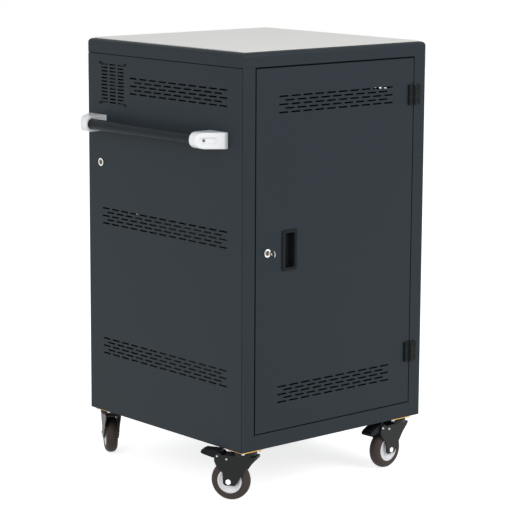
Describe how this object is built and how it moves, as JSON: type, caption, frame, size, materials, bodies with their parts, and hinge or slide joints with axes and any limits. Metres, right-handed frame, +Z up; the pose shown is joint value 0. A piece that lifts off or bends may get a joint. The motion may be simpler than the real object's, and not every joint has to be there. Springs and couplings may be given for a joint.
{
  "type": "laptop charging cart",
  "caption": "Steel cabinet on swivel casters with a louvred hinged door, divider racks for charging laptops, a fan, a side push handle and a light worktop.",
  "frame": {"origin": "on the floor, at the middle of the footprint of the whole cart with its handle and casters", "axes": "+Z up, -Y out of the front door, -X out of the side with the push handle"},
  "size_m": [0.6988, 0.7089, 1.1363],
  "materials": {
    "anthracite": "semi-gloss powder coat",
    "rack_grey": "satin dark grey powder coat",
    "worktop_grey": "fine-grained matte",
    "black_plastic": "satin",
    "white_plastic": "glossy",
    "handle_grip": "matte",
    "chrome": "polished",
    "zinc": "zinc plated",
    "gold_zinc": "yellow passivated zinc",
    "black_steel": "satin black coat",
    "tyre_rubber": "matte"
  },
  "bodies": {
    "cabinet": {"base_pan": "anthracite", "front_left_post": "anthracite", "front_right_post": "anthracite", "rear_left_post": "anthracite", "rear_right_post": "anthracite", "left_side_panel": "anthracite", "right_side_panel": "anthracite", "back_panel": "anthracite", "lid": "anthracite", "worktop_panel": "worktop_grey", "rear_partition": "rack_grey", "laptop_rack_lower": "rack_grey", "laptop_rack_middle": "rack_grey", "laptop_rack_upper": "rack_grey", "power_strip_left": "black_plastic", "power_strip_right": "black_plastic", "fan_frame": "black_plastic", "handle_bracket_front": "white_plastic", "handle_bracket_rear": "white_plastic", "handle_bar": "handle_grip", "front_hinge_upper_frame_leaf": "black_plastic", "front_hinge_lower_frame_leaf": "black_plastic", "side_lock_body": "chrome", "mains_inlet": "black_plastic", "caster_front_left_plate": "gold_zinc", "caster_front_right_plate": "gold_zinc", "caster_rear_left_plate": "gold_zinc", "caster_rear_right_plate": "gold_zinc"},
    "front_door": {"front_door": "anthracite", "front_hinge_upper_door_leaf": "black_plastic", "front_hinge_upper_pin": "zinc", "front_hinge_lower_door_leaf": "black_plastic", "front_hinge_lower_pin": "zinc", "flush_pull": "black_plastic", "front_lock_body": "chrome"},
    "front_lock": {"front_lock_plug": "zinc", "front_lock_cam": "zinc", "front_key": "zinc"},
    "side_lock": {"side_lock_plug": "zinc", "side_lock_cam": "zinc"},
    "fan_rotor": {"fan_rotor": "black_plastic"},
    "mains_rocker": {"mains_rocker": "black_plastic"},
    "caster_front_left_swivel": {"caster_front_left_fork": "black_steel", "caster_front_left_axle": "zinc"},
    "caster_front_left_wheel": {"caster_front_left_hub": "white_plastic", "caster_front_left_tyre": "tyre_rubber"},
    "caster_front_left_brake": {"caster_front_left_brake_pedal": "black_plastic"},
    "caster_front_right_swivel": {"caster_front_right_fork": "black_steel", "caster_front_right_axle": "zinc"},
    "caster_front_right_wheel": {"caster_front_right_hub": "white_plastic", "caster_front_right_tyre": "tyre_rubber"},
    "caster_front_right_brake": {"caster_front_right_brake_pedal": "black_plastic"},
    "caster_rear_left_swivel": {"caster_rear_left_fork": "black_steel", "caster_rear_left_axle": "zinc"},
    "caster_rear_left_wheel": {"caster_rear_left_hub": "white_plastic", "caster_rear_left_tyre": "tyre_rubber"},
    "caster_rear_right_swivel": {"caster_rear_right_fork": "black_steel", "caster_rear_right_axle": "zinc"},
    "caster_rear_right_wheel": {"caster_rear_right_hub": "white_plastic", "caster_rear_right_tyre": "tyre_rubber"}
  },
  "joints": [
    {"name": "front_door_hinge", "type": "hinge", "parent": "cabinet", "child": "front_door", "pos_m": [0.30163, -0.33107, 0.63565], "axis": [0, 0, 1], "range_deg": [0, 120]},
    {"name": "front_lock_turn", "type": "hinge", "parent": "front_door", "child": "front_lock", "pos_m": [-0.20287, -0.32507, 0.63565], "axis": [0, -1, 0], "range_deg": [0, 90]},
    {"name": "side_lock_turn", "type": "hinge", "parent": "cabinet", "child": "side_lock", "pos_m": [-0.28187, 0.24793, 0.8105], "axis": [1, 0, 0], "range_deg": [0, 90]},
    {"name": "fan_rotor_spin", "type": "hinge", "parent": "cabinet", "child": "fan_rotor", "pos_m": [-0.26987, 0.19793, 1.0205], "axis": [1, 0, 0], "continuous": true},
    {"name": "mains_rocker_tip", "type": "hinge", "parent": "cabinet", "child": "mains_rocker", "pos_m": [0.34363, 0.21293, 0.261], "axis": [0, 1, 0], "range_deg": [0, 22]},
    {"name": "caster_front_left_swivel_turn", "type": "hinge", "parent": "cabinet", "child": "caster_front_left_swivel", "pos_m": [-0.23987, -0.28907, 0.125], "axis": [0, 0, 1], "continuous": true},
    {"name": "caster_front_left_wheel_roll", "type": "hinge", "parent": "caster_front_left_swivel", "child": "caster_front_left_wheel", "pos_m": [-0.25948, -0.25769, 0.051], "axis": [-0.848, -0.5299, 0], "continuous": true},
    {"name": "caster_front_left_brake_press", "type": "hinge", "parent": "caster_front_left_swivel", "child": "caster_front_left_brake", "pos_m": [-0.2759, -0.2314, 0.115], "axis": [-0.848, -0.5299, 0], "range_deg": [0, 26]},
    {"name": "caster_front_right_swivel_turn", "type": "hinge", "parent": "cabinet", "child": "caster_front_right_swivel", "pos_m": [0.28513, -0.28907, 0.125], "axis": [0, 0, 1], "continuous": true},
    {"name": "caster_front_right_wheel_roll", "type": "hinge", "parent": "caster_front_right_swivel", "child": "caster_front_right_wheel", "pos_m": [0.24827, -0.2923, 0.051], "axis": [0.0872, -0.9962, 0], "continuous": true},
    {"name": "caster_front_right_brake_press", "type": "hinge", "parent": "caster_front_right_swivel", "child": "caster_front_right_brake", "pos_m": [0.21739, -0.295, 0.115], "axis": [0.0872, -0.9962, 0], "range_deg": [-26, 0]},
    {"name": "caster_rear_left_swivel_turn", "type": "hinge", "parent": "cabinet", "child": "caster_rear_left_swivel", "pos_m": [-0.23987, 0.26693, 0.125], "axis": [0, 0, 1], "continuous": true},
    {"name": "caster_rear_left_wheel_roll", "type": "hinge", "parent": "caster_rear_left_swivel", "child": "caster_rear_left_wheel", "pos_m": [-0.22137, 0.29897, 0.051], "axis": [-0.866, 0.5, 0], "continuous": true},
    {"name": "caster_rear_right_swivel_turn", "type": "hinge", "parent": "cabinet", "child": "caster_rear_right_swivel", "pos_m": [0.28513, 0.26693, 0.125], "axis": [0, 0, 1], "continuous": true},
    {"name": "caster_rear_right_wheel_roll", "type": "hinge", "parent": "caster_rear_right_swivel", "child": "caster_rear_right_wheel", "pos_m": [0.29471, 0.30267, 0.051], "axis": [-0.9659, 0.2588, 0], "continuous": true}
  ]
}
